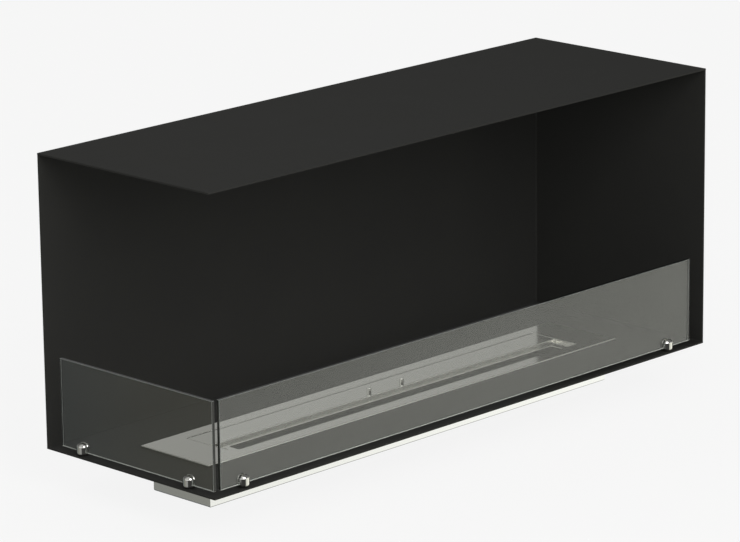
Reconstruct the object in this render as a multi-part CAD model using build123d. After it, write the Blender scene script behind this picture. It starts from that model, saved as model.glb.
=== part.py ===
from build123d import *
import os

# Built-in bioethanol fireplace: a steel firebox open at the front and at the left end,
# low glass panes in round holders along both open sides, and a drop-in burner with a
# sliding shutter. Millimetres. +X runs right along the front, +Y runs back, +Z is up.
# The origin is the centre of the burner cut-out, on the underside of the firebox floor.

# Firebox. A cut that goes through runs on by the length called through
case_length = 1200.0
case_depth = 400.0
case_height = 500.0
case_sheet = 3.0
edge_break = 0.5
through = 1.0
weld_leg = 1.5
weld_end_gap = 2.0

# Glass panes
pane_thickness = 6.0
pane_height = 150.0
pane_inset = 9.0
pane_floor_gap = 6.0
pane_arris = 0.6
front_pane_left_gap = 22.0
front_pane_right_gap = 28.0
side_pane_front_gap = 12.0
side_pane_rear_gap = 28.0

# Round pane holders
holder_diameter = 22.0
holder_flat = 0.4
holder_inner = 4.0
head_diameter = 17.0
head_height = 6.0
head_bevel = 3.2
front_holder_left_inset = 51.0
front_holder_right_inset = 59.0
side_holder_front_inset = 58.5
side_holder_rear_inset = 48.5
liner_thickness = 0.5
liner_width = 13.0
liner_height = 10.0

# Screws under the pane holders
screw_diameter = 4.0
screw_fit = 0.05
base_screw_head = 7.6
base_screw_depth = 4.4
base_screw_sink = 0.2
base_hole_extra = 0.3
base_socket = 2.5
base_socket_depth = 1.2

# Burner casing, hanging through the floor
burner_height = 79.0
burner_sheet = 1.5
casing_length = 972.0
casing_width = 135.0
casing_bend = 2.5
cutout_gap = 2.0
cutout_corner = 3.0
seat_gap = 0.2

# Burner flange, lying on the floor
flange_length = 995.0
flange_width = 160.0
flange_rim = 5.5
flange_bend = 1.8
recess_length = 844.0
recess_width = 106.0
recess_depth = 5.0
recess_bend = 0.6

# Slotted deck at the bottom of the recess
deck_lap = 3.0
slot_end_margin = 24.0
slot_width = 30.0
slot_front_margin = 8.0
slot_corner = 3.0
guide_slot_offset = 13.0
guide_slot_clearance = 0.5

# Fuel tank under the deck
tank_side_gap = 1.5
tank_length_gap = 1.0
tank_depth = 58.0
tank_bend = 4.0
support_spacing = 300.0
support_count = 3
support_width = 30.0
support_length = 90.0

# Absorbent fibre and its screen
fibre_height = 36.0
fibre_gap = 1.0
fibre_count = 3
screen_sheet = 1.0
screen_hole_length = 48.0
screen_hole_width = 18.0
screen_columns = 12
screen_rows = 3
screen_border = 8.0

# Shutter
shutter_width = 53.5
shutter_side_gap = 0.5
shutter_rear_gap = 2.5
shutter_closed_gap = 0.5
shutter_bend = 1.0
shutter_skirt_gap = 0.2
knob_diameter = 8.0
knob_height = 13.5
knob_spacing = 79.5
knob_sideways = -8.25
knob_edge_distance = 5.0
knob_chamfer = 0.6
knob_screw_diameter = 3.0
knob_screw_head = 6.0
knob_screw_head_height = 1.4
knob_screw_reach = 6.0
guide_pin_diameter = 4.0
guide_pin_head = 8.0
guide_pin_head_height = 1.5
guide_pin_head_gap = 0.3

# Places worked out from the sizes above
left = -case_length / 2
right = case_length / 2
front = -case_depth / 2
rear = case_depth / 2
pane_bottom = case_sheet + pane_floor_gap
pane_top = pane_bottom + pane_height
pane_centre_inset = pane_inset + pane_thickness / 2
front_pane_left = left + front_pane_left_gap
front_pane_right = right - front_pane_right_gap
side_pane_front = front + side_pane_front_gap
side_pane_rear = rear - side_pane_rear_gap
liner_half_gap = pane_thickness / 2 + liner_thickness
holder_axis_height = case_sheet + holder_diameter / 2 - holder_flat
holder_slot_bottom = pane_bottom - liner_thickness
holder_inner_end = liner_half_gap + holder_inner
holder_outer_end = liner_half_gap + head_height
flange_top = case_sheet + seat_gap + flange_rim
deck_top = flange_top - recess_depth
deck_bottom = deck_top - burner_sheet
casing_top = flange_top - burner_sheet
casing_bottom = flange_top - burner_height
recess_front = -recess_width / 2
recess_rear = recess_width / 2
slot_length = recess_length - 2 * slot_end_margin
slot_front = recess_front + slot_front_margin
slot_centre_y = slot_front + slot_width / 2
tank_bottom = deck_bottom - tank_depth
tank_length = slot_length + 2 * (2 * burner_sheet + tank_length_gap)
tank_width = recess_width + 2 * (burner_sheet + tank_side_gap)
fibre_bottom = tank_bottom + burner_sheet
screen_bottom = fibre_bottom + fibre_height
shutter_rear = recess_rear - shutter_rear_gap
shutter_front = shutter_rear - shutter_width
shutter_centre_y = (shutter_front + shutter_rear) / 2
shutter_length = recess_length - 2 * shutter_side_gap
shutter_travel = shutter_front - recess_front - shutter_closed_gap
shutter_under = flange_top - burner_sheet
guide_pin_x = slot_length / 2 + guide_slot_offset
knob_y = shutter_front + knob_edge_distance
knob_x = (knob_sideways - knob_spacing / 2, knob_sideways + knob_spacing / 2)


def block(x_range, y_range, z_range):
    """A box between two limits on each axis."""
    size = [limits[1] - limits[0] for limits in (x_range, y_range, z_range)]
    middle = [sum(limits) / 2 for limits in (x_range, y_range, z_range)]
    return Pos(*middle) * Box(*size)


def centred_block(length, width, z_range):
    """A box centred on the burner."""
    return block((-length / 2, length / 2), (-width / 2, width / 2), z_range)


def rounded_block(length, width, corner, z_range):
    """An upright prism with rounded corners, centred on the burner."""
    base = Plane.XY.offset(z_range[0])
    return extrude(base * RectangleRounded(length, width, corner), z_range[1] - z_range[0])


def post(diameter, z_range, x=0.0, y=0.0):
    """An upright cylinder."""
    height = z_range[1] - z_range[0]
    return Pos(x, y, z_range[0] + height / 2) * Cylinder(diameter / 2, height)


def mirrored(x):
    """The two places at the same distance either side of the middle."""
    return (-x, x)


# ---- Firebox panels: laser-cut sheet, welded along their inner corners ----

def front_and_left_edges(panel):
    """The edges of a flat panel that end in the open at the front and at the left."""
    edges = panel.edges().filter_by(Axis.X).group_by(Axis.Y)[0]
    return edges + panel.edges().filter_by(Axis.Y).group_by(Axis.X)[0]


def holder_places():
    """Where each pane holder stands, by name, with its turn about the upright axis."""
    front_y = front + pane_centre_inset
    side_x = left + pane_centre_inset
    side_front_y = side_pane_front + side_holder_front_inset
    side_rear_y = side_pane_rear - side_holder_rear_inset
    return {
        "front_left": Pos(front_pane_left + front_holder_left_inset, front_y, 0),
        "front_right": Pos(front_pane_right - front_holder_right_inset, front_y, 0),
        "side_front": Pos(side_x, side_front_y, 0) * Rot(0, 0, -90),
        "side_rear": Pos(side_x, side_rear_y, 0) * Rot(0, 0, -90),
    }


def floor_panel():
    """Floor sheet with the burner cut-out and countersunk holes under the pane holders."""
    panel = block((left, right), (front, rear), (0, case_sheet))
    panel = fillet(front_and_left_edges(panel), edge_break)
    cutout_length = casing_length + 2 * cutout_gap
    cutout_width = casing_width + 2 * cutout_gap
    depth = (-through, case_sheet + through)
    panel -= rounded_block(cutout_length, cutout_width, cutout_corner, depth)
    for place in holder_places().values():
        panel -= place * base_screw_hole()
    return panel


def top_panel():
    panel = block((left, right), (front, rear), (case_height - case_sheet, case_height))
    return fillet(front_and_left_edges(panel), edge_break)


def back_panel():
    upright = (case_sheet, case_height - case_sheet)
    panel = block((left, right), (rear - case_sheet, rear), upright)
    return fillet(panel.edges().filter_by(Axis.Z).group_by(Axis.X)[0], edge_break)


def side_panel():
    """The one closed end, on the right."""
    upright = (case_sheet, case_height - case_sheet)
    panel = block((right - case_sheet, right), (front, rear - case_sheet), upright)
    return fillet(panel.edges().filter_by(Axis.Z).group_by(Axis.Y)[0], edge_break)


def weld_bead(length):
    """A fillet weld: its corner runs along +X, its legs along +Y and +Z."""
    corner = Plane.YZ * make_face(Polyline((0, 0), (weld_leg, 0), (0, weld_leg), close=True))
    return extrude(corner, length)


def seam_welds():
    """Five fillet welds in the inner corners of the firebox."""
    inner_right = right - case_sheet
    inner_rear = rear - case_sheet
    inner_top = case_height - case_sheet
    start_x = inner_right - weld_end_gap
    start_y = inner_rear - weld_end_gap
    start_z = inner_top - weld_end_gap
    along_x = weld_bead(case_length - case_sheet - 2 * weld_end_gap)
    along_y = weld_bead(case_depth - case_sheet - 2 * weld_end_gap)
    along_z = weld_bead(inner_top - case_sheet - 2 * weld_end_gap)
    floor_rear = Pos(start_x, inner_rear, case_sheet) * Rot(0, 0, 180)
    top_rear = Pos(start_x, inner_rear, inner_top) * Rot(0, 180, 0) * Rot(90, 0, 0)
    floor_side = Pos(inner_right, start_y, case_sheet) * Rot(0, 0, -90) * Rot(90, 0, 0)
    top_side = Pos(inner_right, start_y, inner_top) * Rot(0, 0, -90) * Rot(180, 0, 0)
    upright = Pos(inner_right, inner_rear, start_z) * Rot(0, 90, 0) * Rot(180, 0, 0)
    welds = [floor_rear * along_x, top_rear * along_x]
    welds += [floor_side * along_y, top_side * along_y, upright * along_z]
    return welds


# ---- Glass panes: toughened glass with ground arrises ----

def front_pane():
    depth = (front + pane_inset, front + pane_inset + pane_thickness)
    pane = block((front_pane_left, front_pane_right), depth, (pane_bottom, pane_top))
    return chamfer(pane.edges(), pane_arris)


def side_pane():
    width = (left + pane_inset, left + pane_inset + pane_thickness)
    pane = block(width, (side_pane_front, side_pane_rear), (pane_bottom, pane_top))
    return chamfer(pane.edges(), pane_arris)


# ---- Pane holders: a wide boss behind the pane and a bevelled head before it, turned from
# one bar and slotted from above. Each is drawn with the pane's middle plane at y = 0 and
# its head towards -Y, then put in its place ----

def base_screw_hole():
    """Countersunk clearance hole through the floor."""
    shank = screw_diameter + 2 * base_hole_extra
    head = base_screw_head + 2 * base_hole_extra
    cone_height = (head - shank) / 2
    cone = Pos(0, 0, cone_height / 2) * Cone(head / 2, shank / 2, cone_height)
    return post(shank, (-through, case_sheet + through)) + cone


def pane_holder():
    """Turned bar with a slot from above for the pane and a tapped hole from below."""
    boss = holder_diameter / 2
    head = head_diameter / 2
    outline = Polyline(
        (0, -holder_inner_end),
        (boss, -holder_inner_end),
        (boss, liner_half_gap),
        (head, liner_half_gap),
        (head, holder_outer_end - head_bevel),
        (head - head_bevel, holder_outer_end),
        (0, holder_outer_end),
        close=True,
    )
    bar = revolve(Plane.XZ * make_face(outline), Axis.Z)
    bar = Pos(0, 0, holder_axis_height) * Rot(90, 0, 0) * bar
    reach = holder_diameter
    slot_sides = (-liner_half_gap, liner_half_gap)
    bar -= block((-reach, reach), slot_sides, (holder_slot_bottom, 2 * reach))
    bar -= block((-reach, reach), (-reach, reach), (-reach, case_sheet))
    hole = screw_diameter + 2 * screw_fit
    bar -= post(hole, (0, case_sheet + base_screw_depth + base_hole_extra))
    return bar


def pane_liner():
    """Soft channel between the pane and its slot."""
    across = (-liner_width / 2, liner_width / 2)
    upright = (holder_slot_bottom, holder_slot_bottom + liner_height)
    liner = block(across, (-liner_half_gap, liner_half_gap), upright)
    inside = (-pane_thickness / 2, pane_thickness / 2)
    return liner - block(across, inside, (pane_bottom, upright[1]))


def base_screw():
    """Countersunk screw, up through the floor into the holder."""
    cone_height = (base_screw_head - screw_diameter) / 2
    cone = Pos(0, 0, base_screw_sink + cone_height / 2)
    cone = cone * Cone(base_screw_head / 2, screw_diameter / 2, cone_height)
    shank = post(screw_diameter, (base_screw_sink, case_sheet + base_screw_depth))
    hexagon = Plane.XY.offset(base_screw_sink) * RegularPolygon(base_socket / 2, 6, False)
    return cone + shank - extrude(hexagon, base_socket_depth)


# ---- Burner: stainless sheet. The casing hangs through the floor from the flange ----

def folded_box(length, width, bend, z_range):
    """An open sheet box: bends along the bottom, sharp welded corners upright."""
    inner_length = length - 2 * burner_sheet
    inner_width = width - 2 * burner_sheet
    shell = centred_block(length, width, z_range)
    shell = fillet(shell.edges().group_by(Axis.Z)[0], bend)
    hollow = centred_block(inner_length, inner_width, (z_range[0] + burner_sheet, z_range[1]))
    return shell - fillet(hollow.edges().group_by(Axis.Z)[0], bend - burner_sheet)


def burner_casing():
    """Box that hangs through the floor and catches any spill."""
    return folded_box(casing_length, casing_width, casing_bend, (casing_bottom, casing_top))


def burner_flange():
    """Raised frame with a folded rim outside and folded walls round the recess."""
    rim_bottom = flange_top - flange_rim
    body = centred_block(flange_length, flange_width, (rim_bottom, flange_top))
    body = fillet(body.edges().group_by(Axis.Z)[-1], flange_bend)
    under_length = flange_length - 2 * burner_sheet
    under_width = flange_width - 2 * burner_sheet
    under = centred_block(under_length, under_width, (rim_bottom, casing_top))
    wall_length = recess_length + 2 * burner_sheet
    wall_width = recess_width + 2 * burner_sheet
    walls = centred_block(wall_length, wall_width, (deck_top, casing_top))
    opening = centred_block(recess_length, recess_width, (rim_bottom - through, flange_top))
    flange = body - under + walls - opening
    mouth = flange.edges().filter_by_position(Axis.Z, flange_top, flange_top)
    mouth = mouth.filter_by_position(Axis.Y, recess_front, recess_rear)
    mouth = mouth.filter_by_position(Axis.X, -recess_length / 2, recess_length / 2)
    return fillet(mouth, recess_bend)


def guide_slot(x):
    """Slot in the deck that a guide pin of the shutter runs in."""
    width = guide_pin_diameter + 2 * guide_slot_clearance
    length = shutter_travel + width + 2 * guide_slot_clearance
    middle = shutter_centre_y - shutter_travel / 2
    outline = Plane.XY.offset(deck_bottom - through) * Pos(x, middle) * Rot(0, 0, 90)
    return extrude(outline * SlotOverall(length, width), burner_sheet + 2 * through)


def slot_deck():
    """Bottom of the recess, with the flame slot and the guide slots."""
    length = recess_length + 2 * (burner_sheet + deck_lap)
    width = recess_width + 2 * (burner_sheet + deck_lap)
    deck = centred_block(length, width, (deck_bottom, deck_top))
    depth = (deck_bottom - through, deck_top + through)
    slot = rounded_block(slot_length, slot_width, slot_corner, depth)
    deck -= Pos(0, slot_centre_y, 0) * slot
    for x in mirrored(guide_pin_x):
        deck -= guide_slot(x)
    return deck


def fuel_tank():
    """Open trough welded to the underside of the deck."""
    return folded_box(tank_length, tank_width, tank_bend, (tank_bottom, deck_bottom))


def tank_supports():
    """Folded channels that carry the tank on the floor of the casing."""
    low = casing_bottom + burner_sheet
    outer = block(
        (-support_width / 2, support_width / 2),
        (-support_length / 2, support_length / 2),
        (low, tank_bottom),
    )
    inner = block(
        (-support_width / 2 + burner_sheet, support_width / 2 - burner_sheet),
        (-support_length / 2, support_length / 2),
        (low, tank_bottom - burner_sheet),
    )
    row = GridLocations(support_spacing, 0, support_count, 1)
    return [place * (outer - inner) for place in row]


def fibre_blocks():
    """Absorbent ceramic-fibre blocks that fill the lower part of the tank."""
    inner_length = tank_length - 2 * burner_sheet
    inner_width = tank_width - 2 * burner_sheet
    pitch = inner_length / fibre_count
    length = pitch - fibre_gap
    width = inner_width - 2 * fibre_gap
    slab = centred_block(length, width, (fibre_bottom, screen_bottom))
    slab = chamfer(slab.edges().group_by(Axis.Z)[0], tank_bend - burner_sheet)
    return [place * slab for place in GridLocations(pitch, 0, fibre_count, 1)]


def fibre_screen():
    """Perforated strip that holds the fibre down."""
    length = tank_length - 2 * burner_sheet - 2 * fibre_gap
    width = tank_width - 2 * burner_sheet - 2 * fibre_gap
    screen_z = (screen_bottom, screen_bottom + screen_sheet)
    screen = centred_block(length, width, screen_z)
    pitch_x = (length - 2 * screen_border) / screen_columns
    pitch_y = (width - 2 * screen_border) / screen_rows
    hole = Rectangle(screen_hole_length, screen_hole_width)
    row = GridLocations(pitch_x, pitch_y, screen_columns, screen_rows)
    holes = Sketch() + [place * hole for place in row]
    return screen - extrude(Plane.XY.offset(screen_bottom) * holes, screen_sheet)


# ---- Shutter: an inverted tray that slides forward over the flame slot ----

def shutter_plate():
    """Folded plate with a skirt all round, drilled for the knobs and the guide pins."""
    skirt_bottom = deck_top + shutter_skirt_gap
    at_rest = Pos(0, shutter_centre_y, 0)
    plate = centred_block(shutter_length, shutter_width, (skirt_bottom, flange_top))
    plate = fillet(plate.edges().group_by(Axis.Z)[-1], shutter_bend)
    under_length = shutter_length - 2 * burner_sheet
    under_width = shutter_width - 2 * burner_sheet
    plate -= centred_block(under_length, under_width, (skirt_bottom, shutter_under))
    plate = at_rest * plate
    hole = knob_screw_diameter + 2 * screw_fit
    for x in knob_x:
        plate -= post(hole, (shutter_under, flange_top), x, knob_y)
    return plate


def shutter_knob(x):
    """Turned knob, tapped from below."""
    knob = post(knob_diameter, (flange_top, flange_top + knob_height), x, knob_y)
    knob = chamfer(knob.edges().group_by(Axis.Z)[-1], knob_chamfer)
    hole = knob_screw_diameter + 2 * screw_fit
    return knob - post(hole, (flange_top, flange_top + knob_screw_reach), x, knob_y)


def knob_screws():
    """Low-headed screws that hold the knobs from under the plate."""
    head_z = (shutter_under - knob_screw_head_height, shutter_under)
    shank_z = (shutter_under, flange_top + knob_screw_reach - screw_fit)
    return [
        post(knob_screw_head, head_z, x, knob_y) + post(knob_screw_diameter, shank_z, x, knob_y)
        for x in knob_x
    ]


def guide_pins():
    """Headed pins that keep the plate down and square in the guide slots."""
    head_top = deck_bottom - guide_pin_head_gap
    head_z = (head_top - guide_pin_head_height, head_top)
    shank_z = (head_top, shutter_under)
    return [
        post(guide_pin_head, head_z, x, shutter_centre_y)
        + post(guide_pin_diameter, shank_z, x, shutter_centre_y)
        for x in mirrored(guide_pin_x)
    ]


def sub_parts():
    """Every sub-part by name: one solid, or a list where like pieces share a name."""
    parts = {
        "floor_panel": floor_panel(),
        "top_panel": top_panel(),
        "back_panel": back_panel(),
        "side_panel": side_panel(),
        "seam_welds": seam_welds(),
        "front_pane": front_pane(),
        "side_pane": side_pane(),
        "burner_casing": burner_casing(),
        "burner_flange": burner_flange(),
        "slot_deck": slot_deck(),
        "fuel_tank": fuel_tank(),
        "tank_supports": tank_supports(),
        "fibre_screen": fibre_screen(),
        "shutter_plate": shutter_plate(),
        "knob_screws": knob_screws(),
        "guide_pins": guide_pins(),
    }
    places = holder_places()
    for name, place in places.items():
        parts["holder_" + name] = place * pane_holder()
        parts["liner_" + name] = place * pane_liner()
    parts["base_screws"] = [place * base_screw() for place in places.values()]
    for name, slab in zip(("left", "middle", "right"), fibre_blocks()):
        parts["fibre_" + name] = slab
    for name, x in zip(("left", "right"), knob_x):
        parts["knob_" + name] = shutter_knob(x)
    return parts


os.makedirs("parts", exist_ok=True)
for name, shape in sub_parts().items():
    if isinstance(shape, list):
        shape = Compound(children=shape)
    export_step(shape, "parts/" + name + ".step")
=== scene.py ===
"""The bioethanol fireplace insert, dressed and lit as in its photograph.

Lengths are in metres. X runs to the right, Y to the rear and Z up.
"""

import math

import bmesh
import bpy
from mathutils import Matrix, Vector


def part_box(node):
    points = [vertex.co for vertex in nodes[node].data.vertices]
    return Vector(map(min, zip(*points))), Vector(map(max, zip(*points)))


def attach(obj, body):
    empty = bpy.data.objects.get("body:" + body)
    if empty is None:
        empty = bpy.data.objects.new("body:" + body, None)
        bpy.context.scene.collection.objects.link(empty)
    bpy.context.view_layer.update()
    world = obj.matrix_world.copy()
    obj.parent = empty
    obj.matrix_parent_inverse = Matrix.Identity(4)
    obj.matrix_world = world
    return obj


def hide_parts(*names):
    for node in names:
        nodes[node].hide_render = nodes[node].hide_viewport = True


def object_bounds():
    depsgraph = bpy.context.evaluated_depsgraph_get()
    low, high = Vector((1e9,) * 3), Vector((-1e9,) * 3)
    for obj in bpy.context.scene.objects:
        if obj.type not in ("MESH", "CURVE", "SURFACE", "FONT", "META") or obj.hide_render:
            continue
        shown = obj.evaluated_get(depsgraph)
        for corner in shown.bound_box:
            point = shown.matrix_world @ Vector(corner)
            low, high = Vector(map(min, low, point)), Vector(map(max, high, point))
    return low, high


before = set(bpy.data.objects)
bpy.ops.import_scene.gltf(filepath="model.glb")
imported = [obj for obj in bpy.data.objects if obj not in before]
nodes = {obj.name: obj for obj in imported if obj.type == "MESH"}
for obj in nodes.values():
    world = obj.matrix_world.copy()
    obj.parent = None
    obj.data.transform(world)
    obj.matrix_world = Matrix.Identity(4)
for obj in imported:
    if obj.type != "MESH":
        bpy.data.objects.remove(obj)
cad_low, cad_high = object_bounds()


# ---- Helpers ----


def linear(hex_colour):
    """Turns an sRGB hex colour into linear red, green, blue and alpha."""
    steps = [int(hex_colour[i : i + 2], 16) / 255 for i in (0, 2, 4)]
    return [s / 12.92 if s <= 0.04045 else ((s + 0.055) / 1.055) ** 2.4 for s in steps] + [1.0]


def add_node(tree, kind, inputs, **settings):
    """Adds a node. inputs gives each input, by name or number, a value or a socket."""
    node = tree.nodes.new(kind)
    for name, value in settings.items():
        setattr(node, name, value)
    for name, value in inputs.items():
        if isinstance(value, bpy.types.NodeSocket):
            tree.links.new(value, node.inputs[name])
        else:
            node.inputs[name].default_value = value
    return node


def math_node(tree, operation, *values):
    """The result of one sum or comparison."""
    inputs = dict(enumerate(values))
    return add_node(tree, "ShaderNodeMath", inputs, operation=operation).outputs[0]


def vector_node(tree, operation, *vectors):
    """The result of one sum on vectors."""
    inputs = dict(enumerate(vectors))
    return add_node(tree, "ShaderNodeVectorMath", inputs, operation=operation).outputs[0]


def split(tree, vector):
    """The X, Y and Z of a vector, by name."""
    return add_node(tree, "ShaderNodeSeparateXYZ", {0: vector}).outputs


def spread(tree, value, low, high, start=0.0, end=1.0):
    """Maps a value that runs from start to end on to low to high."""
    inputs = {"Value": value, "From Min": start, "From Max": end, "To Min": low, "To Max": high}
    return add_node(tree, "ShaderNodeMapRange", inputs).outputs[0]


def mix(tree, share, first, second, kind="FLOAT"):
    """Mixes two numbers or, where kind is RGBA, two colours, by a 0 to 1 share."""
    inputs = {"Factor": share, "A": first, "B": second}
    return add_node(tree, "ShaderNodeMix", inputs, data_type=kind).outputs["Result"]


def between(tree, share, first, second):
    """Mixes two surfaces by a 0 to 1 share."""
    inputs = {0: share, 1: first, 2: second}
    return add_node(tree, "ShaderNodeMixShader", inputs).outputs[0]


def own_place(tree):
    """Where a point lies in its piece's own space."""
    return add_node(tree, "ShaderNodeTexCoord", {}).outputs["Object"]


def noise(tree, place, pitch, detail):
    """A 0 to 1 noise with one wave to each pitch, in metres."""
    inputs = {"Vector": place, "Scale": 1 / pitch, "Detail": detail}
    return add_node(tree, "ShaderNodeTexNoise", inputs).outputs["Fac"]


def uneven(tree, pitch, span, detail):
    """A number that wanders between the two ends of a span, for roughness."""
    return spread(tree, noise(tree, own_place(tree), pitch, detail), *span)


def bumps(tree, height, strength, depth):
    """The normal of a surface with small bumps."""
    inputs = {"Strength": strength, "Distance": depth, "Height": height}
    return add_node(tree, "ShaderNodeBump", inputs).outputs[0]


def stuff(tree, colour, roughness, **others):
    """A surface. The names of its other inputs have _ for each space."""
    inputs = {"Base Color": colour, "Roughness": roughness}
    inputs.update({name.replace("_", " "): value for name, value in others.items()})
    return add_node(tree, "ShaderNodeBsdfPrincipled", inputs).outputs[0]


def in_mirror(tree):
    """1 for light that a shiny surface has mirrored, or else 0."""
    bounces = add_node(tree, "ShaderNodeLightPath", {}).outputs["Glossy Depth"]
    return math_node(tree, "GREATER_THAN", bounces, 0.5)


def new_material(name):
    """An empty material and its node tree."""
    material = bpy.data.materials.new(name)
    material.use_nodes = True
    material.node_tree.nodes.clear()
    return material, material.node_tree


def show(tree, surface):
    """Ends a material's node tree with its surface."""
    add_node(tree, "ShaderNodeOutputMaterial", {"Surface": surface})


def dress(obj, material):
    """Gives every face of a piece the one material."""
    obj.data.materials.clear()
    obj.data.materials.append(material)


def add_object(name, data):
    """A new object in the scene."""
    obj = bpy.data.objects.new(name, data)
    bpy.context.scene.collection.objects.link(obj)
    return obj


# ---- The studio ----
# A plain pale floor at the height of the burner casing's underside, one large soft lamp
# and a pale surround. The camera stands where the photograph was taken from.
#
# Metal and glass mirror a surround of three bands: a floor that is bright from the front
# round to the right and darker elsewhere, a band just over the horizon with bright windows
# in front and on the left, and a grey room above. Each stop of a band is a heading in
# degrees from straight right, with straight back at 90, then a level and a colour. Heights
# in the surround are sines of the angle over the horizon.

PAGE_WHITE = "F9F9F9"
FLOOR_GREY = "D8D8D6"
WARM_WHITE = "F7F8EE"
COOL_WHITE = "EAF4F2"
SAND_WHITE = "F8F6DF"
PLAIN_WHITE = "F8F9F7"
floor_half_size = 40.0
shadow_share = 0.07
surround_strength = 0.85
mirrored_peak = 1.35
floor_stops = (
    (-180, 0.45, PLAIN_WHITE),
    (-168, 0.45, PLAIN_WHITE),
    (-158, 0.06, PLAIN_WHITE),
    (-86, 0.06, PLAIN_WHITE),
    (-74, 1.00, WARM_WHITE),
    (-53, 1.00, WARM_WHITE),
    (-46, 1.12, WARM_WHITE),
    (-38, 1.35, WARM_WHITE),
    (5, 1.35, WARM_WHITE),
    (60, 0.27, COOL_WHITE),
    (131.2, 0.26, COOL_WHITE),
    (132.7, 0.32, SAND_WHITE),
    (170, 0.40, PLAIN_WHITE),
)
window_stops = (
    (-180, 1.25, PLAIN_WHITE),
    (-40, 1.25, PLAIN_WHITE),
    (-30, 0.20, PLAIN_WHITE),
    (38, 0.20, PLAIN_WHITE),
    (50, 0.44, PLAIN_WHITE),
    (80, 0.30, PLAIN_WHITE),
    (145, 0.20, PLAIN_WHITE),
    (155, 1.25, PLAIN_WHITE),
)
room_stops = (
    (-180, 0.62, PLAIN_WHITE),
    (-130, 0.52, PLAIN_WHITE),
    (-95, 0.24, PLAIN_WHITE),
    (-60, 0.20, PLAIN_WHITE),
    (38, 0.20, PLAIN_WHITE),
    (50, 0.44, PLAIN_WHITE),
    (80, 0.30, PLAIN_WHITE),
    (110, 0.06, PLAIN_WHITE),
    (130, 0.30, PLAIN_WHITE),
    (170, 0.62, PLAIN_WHITE),
)
window_top = 0.23
floor_fade_start = -0.35
floor_fade_end = -0.8
floor_fade_share = 0.2
lamp_size = 2.4
lamp_power = 104.0
lamp_place = Vector((-1.4, -3.2, 2.2))

image_width = 740
focal_pixels = 4035.39
sensor_width = 36.0
view_reach = 200.0
camera_place = Vector((-4.74104, -4.61469, 2.01084))
camera_forward = Vector((0.6887, 0.6762, -0.2615))
camera_right = Vector((0.6983, -0.7157, -0.0116))

# The floor is white to the eye and keeps a faint shadow. Mirrored rays pass through it to
# the surround.
paper, tree = new_material("pale_paper_floor")
matt = add_node(tree, "ShaderNodeBsdfDiffuse", {"Color": linear(FLOOR_GREY)}).outputs[0]
page = {"Color": linear(PAGE_WHITE), "Strength": 1.0}
white = add_node(tree, "ShaderNodeEmission", page).outputs[0]
open_floor = add_node(tree, "ShaderNodeBsdfTransparent", {}).outputs[0]
path = add_node(tree, "ShaderNodeLightPath", {}).outputs
to_the_eye = math_node(tree, "MAXIMUM", path["Is Camera Ray"], path["Is Transmission Ray"])
straight = between(tree, to_the_eye, matt, between(tree, shadow_share, white, matt))
show(tree, between(tree, in_mirror(tree), straight, open_floor))

corners = [(-1, -1), (1, -1), (1, 1), (-1, 1)]
floor_points = [(x * floor_half_size, y * floor_half_size, cad_low.z) for x, y in corners]
floor_mesh = bpy.data.meshes.new("studio_floor")
floor_mesh.from_pydata(floor_points, [], [(0, 1, 2, 3)])
studio_floor = add_object("studio_floor", floor_mesh)
dress(studio_floor, paper)

world = bpy.data.worlds.new("pale_surround")
bpy.context.scene.world = world
world.use_nodes = True
tree = world.node_tree
tree.nodes.clear()
heading = split(tree, add_node(tree, "ShaderNodeTexCoord", {}).outputs["Generated"])
angle = math_node(tree, "ARCTAN2", heading["Y"], heading["X"])
turned = spread(tree, angle, low=0.0, high=1.0, start=-math.pi, end=math.pi)


def round_horizon(stops):
    """The colour of a band by heading, with its level as a share of the peak."""
    band = add_node(tree, "ShaderNodeValToRGB", {0: turned})
    elements = band.color_ramp.elements
    for index, (degrees, level, hex_colour) in enumerate(stops):
        position = (degrees + 180) / 360
        # A new ramp has two elements already.
        element = elements[index] if index < 2 else elements.new(position)
        element.position = position
        colour = [part * level / mirrored_peak for part in linear(hex_colour)[:3]]
        element.color = colour + [1.0]
    return band.outputs["Color"]


over_horizon = math_node(tree, "GREATER_THAN", heading["Z"], 0.0)
over_window = math_node(tree, "GREATER_THAN", heading["Z"], window_top)
upper = mix(tree, over_window, round_horizon(window_stops), round_horizon(room_stops), "RGBA")
mirrored = mix(tree, over_horizon, round_horizon(floor_stops), upper, "RGBA")
mirrored_strength = spread(
    tree,
    heading["Z"],
    low=mirrored_peak * floor_fade_share,
    high=mirrored_peak,
    start=floor_fade_end,
    end=floor_fade_start,
)
seen = add_node(tree, "ShaderNodeLightPath", {}).outputs["Is Camera Ray"]
unmirrored_strength = mix(tree, seen, surround_strength, 1.0)
strength = mix(tree, in_mirror(tree), unmirrored_strength, mirrored_strength)
tint = mix(tree, in_mirror(tree), linear(PAGE_WHITE), mirrored, "RGBA")
glow = add_node(tree, "ShaderNodeBackground", {"Color": tint, "Strength": strength}).outputs[0]
add_node(tree, "ShaderNodeOutputWorld", {"Surface": glow})

lamp_data = bpy.data.lights.new("soft_lamp", "AREA")
lamp_data.size = lamp_size
lamp_data.energy = lamp_power
lamp = add_object("soft_lamp", lamp_data)
lamp.location = lamp_place
lamp.rotation_euler = (-lamp_place).to_track_quat("-Z", "Y").to_euler()

camera_data = bpy.data.cameras.new("camera")
camera_data.sensor_fit = "HORIZONTAL"
camera_data.sensor_width = sensor_width
camera_data.lens = focal_pixels * sensor_width / image_width
camera_data.clip_end = view_reach
camera = add_object("camera", camera_data)
backward = -camera_forward.normalized()
across = (camera_right - camera_right.dot(backward) * backward).normalized()
camera_turn = Matrix((across, backward.cross(across), backward)).transposed()
camera.matrix_world = Matrix.Translation(camera_place) @ camera_turn.to_4x4()
bpy.context.scene.camera = camera
bpy.context.scene.view_settings.view_transform = "Standard"


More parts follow.
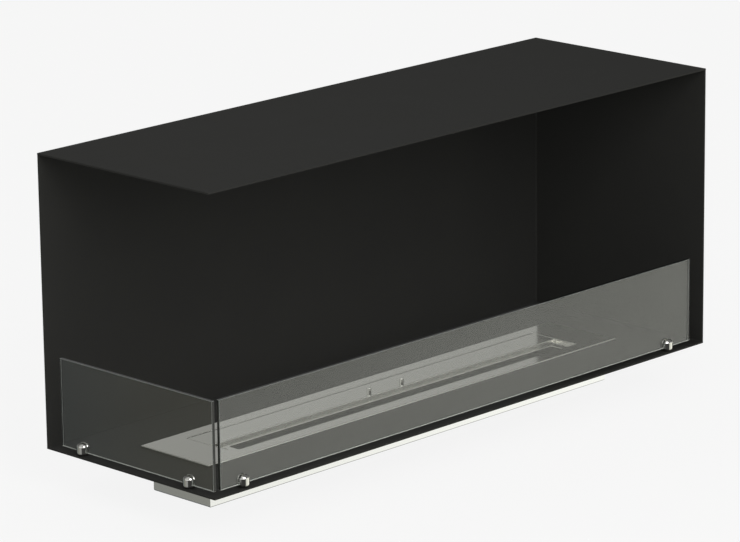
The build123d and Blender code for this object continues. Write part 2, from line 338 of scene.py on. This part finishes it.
# ---- Firebox ----
# Four laser-cut sheets of 3 mm mild steel, welded along their inner corners and coated
# with matt black heat-proof powder. The coat has a fine orange-peel skin.

COAT_BLACK = "262625"
COAT_PALER = "2A2A28"
coat_roughness = (0.48, 0.56)
coat_shine = 0.03
mottle_pitch = 0.11
peel_pitch = 0.0016
peel_strength = 0.03
peel_depth = 0.0002

coat, tree = new_material("matt_black_powder_coat")
place = own_place(tree)
peel = noise(tree, place, peel_pitch, detail=2.0)
mottle = noise(tree, place, mottle_pitch, detail=4.0)
coating = stuff(
    tree,
    mix(tree, mottle, linear(COAT_BLACK), linear(COAT_PALER), "RGBA"),
    spread(tree, mottle, *coat_roughness),
    Specular_IOR_Level=coat_shine,
    Normal=bumps(tree, peel, peel_strength, peel_depth),
)
show(tree, coating)
for name in ("floor_panel", "top_panel", "back_panel", "side_panel", "seam_welds"):
    dress(nodes[name], coat)

# The burner's bright top mirrors the pale surround where the black back panel stands, as it
# does in the photograph.
nodes["back_panel"].visible_glossy = False


# ---- Glass panes ----
# Clear toughened glass, 6 mm thick. The arrises are ground, which leaves them a little
# frosted, so they catch the light as thin pale lines. The ends between them are painted
# dark, as painted shade, and the lower edge is painted pale, as a painted highlight.

GLASS_TINT = "F8F9F8"
GROUND_EDGE = "8A8E8A"
# The pale lower edge is a painted highlight and the dark ends are painted shade.
BOTTOM_EDGE_PAINTED_HIGHLIGHT = "9C9F9A"
END_FACE_PAINTED_SHADE = "0E100E"
glass_bending = 1.5
arris_width = 0.0007
arris_roughness = 0.45
arris_clearness = 0.6
end_roughness = 0.2
bottom_roughness = 0.5
# A face whose normal goes this far along an axis is flat, and isn't an arris.
flat_face = 0.9

for pane_name in ("front_pane", "side_pane"):
    low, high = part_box(pane_name)
    along = "X" if pane_name == "front_pane" else "Y"
    glass, tree = new_material("toughened_float_glass_" + pane_name)
    place = own_place(tree)
    from_middle = vector_node(tree, "SUBTRACT", place, (low + high) / 2)
    inner_half = (high - low) / 2 - Vector((arris_width,) * 3)
    off_middle = vector_node(tree, "ABSOLUTE", from_middle)
    beyond = split(tree, vector_node(tree, "SUBTRACT", off_middle, inner_half))
    normal = add_node(tree, "ShaderNodeNewGeometry", {}).outputs["True Normal"]
    facing = split(tree, vector_node(tree, "ABSOLUTE", normal))
    furthest = math_node(tree, "MAXIMUM", beyond[along], beyond["Z"])
    at_rim = math_node(tree, "GREATER_THAN", furthest, 0.0)
    off_upright_end = math_node(tree, "LESS_THAN", facing[along], flat_face)
    off_level_end = math_node(tree, "LESS_THAN", facing["Z"], flat_face)
    slanted = math_node(tree, "MULTIPLY", off_upright_end, off_level_end)
    at_arris = math_node(tree, "MULTIPLY", at_rim, slanted)
    at_end = math_node(tree, "SUBTRACT", at_rim, at_arris)
    at_bottom = math_node(tree, "LESS_THAN", split(tree, place)["Z"], low.z + arris_width)
    clear = stuff(
        tree, linear(GLASS_TINT), roughness=0.0, IOR=glass_bending, Transmission_Weight=1.0
    )
    frosted = stuff(
        tree,
        linear(GROUND_EDGE),
        arris_roughness,
        IOR=glass_bending,
        Transmission_Weight=arris_clearness,
    )
    # The ends get a dark, opaque colour: painted shade.
    shaded_end_face = stuff(tree, linear(END_FACE_PAINTED_SHADE), end_roughness, IOR=glass_bending)
    # The lower edge gets a paler colour than the arrises: a painted highlight.
    lit_bottom_edge = stuff(tree, linear(BOTTOM_EDGE_PAINTED_HIGHLIGHT), bottom_roughness, IOR=glass_bending)
    body = between(tree, at_arris, clear, frosted)
    body = between(tree, at_end, body, shaded_end_face)
    body = between(tree, at_bottom, body, lit_bottom_edge)
    let_through = add_node(tree, "ShaderNodeBsdfTransparent", {"Color": linear(GLASS_TINT)})
    shadow_ray = add_node(tree, "ShaderNodeLightPath", {}).outputs["Is Shadow Ray"]
    show(tree, between(tree, shadow_ray, body, let_through.outputs[0]))
    dress(nodes[pane_name], glass)


# ---- Pane holders ----
# Short polished stainless posts with domed tops and rounded feet. A slot milled from above
# takes the glass in its soft liner, and a screw comes up into each from under the floor.

BRIGHT_STEEL = "D6D5D1"
LINER_GREY = "C4C6C2"
polished_roughness = (0.06, 0.11)
lathe_pitch = 1 / 900
liner_roughness = (0.35, 0.55)
liner_pitch = 1 / 400
liner_bending = 1.41
liner_clearness = 0.5
post_diameter = 0.022
post_side_top = 0.0174
dome_height = 0.0084
post_foot_round = 0.0055
slot_half_width = 0.0035
slot_edge_break = 0.0012
round_steps = 24
lathe_steps = 72
cutter_reach = 0.03
weld_distance = 1e-6
sharpest_smooth_edge = math.radians(35)
place_names = ("front_left", "front_right", "side_front", "side_rear")

polished, tree = new_material("polished_stainless")
post_gloss = uneven(tree, lathe_pitch, polished_roughness, detail=2.0)
show(tree, stuff(tree, linear(BRIGHT_STEEL), post_gloss, Metallic=1.0))


def as_mesh(shape, name):
    """Turns a bmesh into mesh data."""
    mesh = bpy.data.meshes.new(name)
    shape.to_mesh(mesh)
    shape.free()
    return mesh


def turned_mesh(name, profile):
    """A solid turned about Z from (radius, height) points."""
    shape = bmesh.new()
    points = [shape.verts.new((radius, 0.0, height)) for radius, height in profile]
    edges = [shape.edges.new(pair) for pair in zip(points, points[1:])]
    bmesh.ops.spin(
        shape,
        geom=points + edges,
        axis=(0, 0, 1),
        cent=(0, 0, 0),
        angle=2 * math.pi,
        steps=lathe_steps,
    )
    bmesh.ops.remove_doubles(shape, verts=shape.verts, dist=weld_distance)
    bmesh.ops.recalc_face_normals(shape, faces=shape.faces)
    return as_mesh(shape, name)


def box_mesh(low, high):
    """A box between two corners."""
    size = Vector(high) - Vector(low)
    middle = Matrix.Translation((Vector(low) + Vector(high)) / 2)
    shape = bmesh.new()
    bmesh.ops.create_cube(shape, size=1.0)
    shape.transform(middle @ Matrix.Diagonal((*size, 1.0)))
    return as_mesh(shape, "cutter")


def edge_break_mesh(side, slot_bottom):
    """A three-cornered bar that follows the edge of the slot on one side (1 or -1)."""
    radius = post_diameter / 2
    near, far = slot_half_width, slot_half_width + slot_edge_break
    near_share, far_share = (math.sqrt(1 - (off / radius) ** 2) for off in (near, far))
    angles = [index * math.pi / lathe_steps for index in range(lathe_steps + 1)]
    down_the_side = slot_bottom - post_side_top
    legs = [(0.0, down_the_side)] + [(t, 0.0) for t in angles] + [(math.pi, down_the_side)]
    shape = bmesh.new()
    rings = []
    for t, drop in legs:
        outward = Vector((math.cos(t) / radius, 0, math.sin(t) / dome_height)).normalized()
        rim = Vector((radius * math.cos(t), 0, dome_height * math.sin(t)))
        base = Vector((0, 0, post_side_top + drop))
        inner = base + rim * near_share - outward * slot_edge_break + Vector((0, side * near, 0))
        outer = base + rim * far_share + Vector((0, side * far, 0))
        reach = (outer - inner) / 2
        clear_of_post = base + rim * near_share + outward * slot_edge_break
        clear_of_post += Vector((0, side * (near - slot_edge_break), 0))
        ring = (inner - reach, outer + reach, clear_of_post)
        rings.append([shape.verts.new(point) for point in ring])
    for first, second in zip(rings, rings[1:]):
        for one, two in ((0, 1), (1, 2), (2, 0)):
            shape.faces.new((first[one], first[two], second[two], second[one]))
    shape.faces.new(rings[0])
    shape.faces.new(rings[-1][::-1])
    bmesh.ops.recalc_face_normals(shape, faces=shape.faces)
    return as_mesh(shape, "cutter")


def cut_from(obj, mesh):
    """Takes the solid of a mesh out of a mesh object."""
    cutter = add_object("cutter", mesh)
    cut = obj.modifiers.new("cut", "BOOLEAN")
    cut.operation = "DIFFERENCE"
    cut.solver = "EXACT"
    cut.object = cutter
    whole = obj.evaluated_get(bpy.context.evaluated_depsgraph_get())
    obj.data = bpy.data.meshes.new_from_object(whole)
    obj.modifiers.clear()
    bpy.data.objects.remove(cutter)


def shade_turned(mesh):
    """Smooth shading, broken at the sharp edges."""
    mesh.shade_smooth()
    mesh.set_sharp_from_angle(angle=sharpest_smooth_edge)


def quarter_turn(steps):
    """Even angles from 0 to 90 degrees."""
    return [index * math.pi / 2 / steps for index in range(steps + 1)]


def post_profile(foot):
    """Points of a post's half outline, from the middle of its foot to the top of its dome."""
    radius = post_diameter / 2
    angles = quarter_turn(round_steps)
    foot_round = [
        (radius - post_foot_round * (1 - math.sin(t)), foot + post_foot_round * (1 - math.cos(t)))
        for t in angles
    ]
    dome = [
        (radius * math.cos(t), post_side_top + dome_height * math.sin(t)) for t in angles[:-1]
    ]
    return [(0.0, foot)] + foot_round + dome + [(0.0, post_side_top + dome_height)]


for place_name in place_names:
    liner_low, liner_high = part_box("liner_" + place_name)
    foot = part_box("holder_" + place_name)[0].z
    holder_name = "domed_holder_" + place_name
    holder = add_object(holder_name, turned_mesh(holder_name, post_profile(foot)))
    slot_low = (-cutter_reach, -slot_half_width, liner_low.z)
    slot_high = (cutter_reach, slot_half_width, cutter_reach)
    cut_from(holder, box_mesh(slot_low, slot_high))
    for side in (1, -1):
        cut_from(holder, edge_break_mesh(side, liner_low.z))
    middle = (liner_low + liner_high) / 2
    turn = 0.0 if place_name.startswith("front") else -math.pi / 2
    put = Matrix.Translation((middle.x, middle.y, 0)) @ Matrix.Rotation(turn, 4, "Z")
    holder.data.transform(put)
    shade_turned(holder.data)
    dress(holder, polished)
    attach(holder, "firebox")
    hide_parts("holder_" + place_name)

silicone, tree = new_material("moulded_silicone_liner")
liner_surface = stuff(
    tree,
    linear(LINER_GREY),
    uneven(tree, liner_pitch, liner_roughness, detail=2.0),
    IOR=liner_bending,
    Transmission_Weight=liner_clearness,
)
show(tree, liner_surface)
for place_name in place_names:
    dress(nodes["liner_" + place_name], silicone)


# ---- Burner casing ----
# Folded stainless sheet, 1.5 mm thick, with its bright mill finish. It hangs through the
# floor of the firebox. The screws and pins have the same finish.

MILL_STEEL = "E9E9EC"
mill_roughness = (0.14, 0.20)
mill_pitch = 0.004

mill, tree = new_material("mill_finish_stainless")
mill_gloss = uneven(tree, mill_pitch, mill_roughness, detail=3.0)
show(tree, stuff(tree, linear(MILL_STEEL), mill_gloss, Metallic=1.0))
for name in ("burner_casing", "base_screws", "knob_screws", "guide_pins"):
    dress(nodes[name], mill)


# ---- Burner flange and shutter ----
# Folded stainless sheet with the bright, almost mirror-like skin that it was rolled with.
# It mirrors what stands round it, a little blurred along the rolling. The folds are duller,
# where bending has stretched the skin.

ROLLED_STEEL = "DCDBD5"
rolled_roughness = (0.10, 0.15)
roll_pitch = 0.0012
roll_stretch = 60.0
fold_roughness = 0.5
# A fold lies where the normal's Z is between these, from an upright wall to a level top.
fold_lowest = 0.12
fold_highest = 0.97

rolled, tree = new_material("bright_rolled_stainless")
along_the_roll = {"Vector": own_place(tree), "Scale": (1 / roll_stretch, 1.0, 1.0)}
stretched = add_node(tree, "ShaderNodeMapping", along_the_roll).outputs[0]
roll_gloss = spread(tree, noise(tree, stretched, roll_pitch, detail=3.0), *rolled_roughness)
normal = add_node(tree, "ShaderNodeNewGeometry", {}).outputs["Normal"]
levelness = math_node(tree, "ABSOLUTE", split(tree, normal)["Z"])
past_wall = math_node(tree, "GREATER_THAN", levelness, fold_lowest)
short_of_top = math_node(tree, "LESS_THAN", levelness, fold_highest)
on_fold = math_node(tree, "MULTIPLY", past_wall, short_of_top)
sheet_gloss = mix(tree, on_fold, roll_gloss, fold_roughness)
show(tree, stuff(tree, linear(ROLLED_STEEL), sheet_gloss, Metallic=1.0))
for name in ("burner_flange", "shutter_plate"):
    dress(nodes[name], rolled)

# The knobs are turned from bar, with a small rounding at the top.
knob_round = 0.0007
knob_round_steps = 6

for name in ("knob_left", "knob_right"):
    knob_low, knob_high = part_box(name)
    radius = (knob_high.x - knob_low.x) / 2
    height = knob_high.z - knob_low.z
    top_edge = [
        (
            radius - knob_round + knob_round * math.cos(t),
            height - knob_round + knob_round * math.sin(t),
        )
        for t in quarter_turn(knob_round_steps)
    ]
    profile = [(0.0, 0.0), (radius, 0.0)] + top_edge + [(0.0, height)]
    knob = add_object("turned_" + name, turned_mesh("turned_" + name, profile))
    middle = (knob_low + knob_high) / 2
    knob.data.transform(Matrix.Translation((middle.x, middle.y, knob_low.z)))
    shade_turned(knob.data)
    dress(knob, polished)
    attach(knob, "shutter")
    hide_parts(name)


# ---- Slotted deck ----
# The same bright sheet. The laser leaves its cut edges matt and pale.

CUT_STEEL = "D0CFC9"
deck_roughness = (0.10, 0.16)
deck_pitch = 1 / 60
cut_roughness = 0.7
# A face whose normal's Z is below this is a cut edge.
flat_level = 0.8

deck_steel, tree = new_material("laser_cut_stainless")
deck_gloss = uneven(tree, deck_pitch, deck_roughness, detail=4.0)
sheet = stuff(tree, linear(ROLLED_STEEL), deck_gloss, Metallic=1.0)
cut_edge = stuff(tree, linear(CUT_STEEL), cut_roughness, Metallic=1.0)
normal = add_node(tree, "ShaderNodeNewGeometry", {}).outputs["Normal"]
flat = math_node(tree, "GREATER_THAN", split(tree, normal)["Z"], flat_level)
show(tree, between(tree, flat, cut_edge, sheet))
dress(nodes["slot_deck"], deck_steel)


# ---- Inside of the tank ----
# Steel darkened by the flames, and painted darker still as painted shade of the unlit slot:
# the trough, its supports and the perforated screen. The ceramic fibre under the screen is
# painted dark all over, as painted shade.

# The steel colour is partly flame darkening and partly painted shade. The fibre colour is painted
# shade.
BURNT_STEEL_AND_PAINTED_SHADE = "2A2826"
FIBRE_PAINTED_SHADE = "4A4742"
burnt_roughness = (0.55, 0.85)
burnt_pitch = 1 / 90
burnt_metallic = 0.6
felt_roughness = 0.95
felt_pitch = 1 / 250
felt_strength = 0.6
felt_depth = 0.001

# Dark steel: flame darkening plus painted shade of the unlit slot.
burnt_and_shaded, tree = new_material("flame_darkened_steel_and_painted_shade")
burnt_gloss = uneven(tree, burnt_pitch, burnt_roughness, detail=5.0)
show(tree, stuff(tree, linear(BURNT_STEEL_AND_PAINTED_SHADE), burnt_gloss, Metallic=burnt_metallic))
for name in ("fuel_tank", "tank_supports", "fibre_screen"):
    dress(nodes[name], burnt_and_shaded)

# Dark fibre: painted shade of the unlit slot.
felt, tree = new_material("ceramic_fibre_felt_painted_shade")
tufts = noise(tree, own_place(tree), felt_pitch, detail=6.0)
lumps = bumps(tree, tufts, felt_strength, felt_depth)
show(tree, stuff(tree, linear(FIBRE_PAINTED_SHADE), felt_roughness, Normal=lumps))
for name in ("fibre_left", "fibre_middle", "fibre_right"):
    dress(nodes[name], felt)
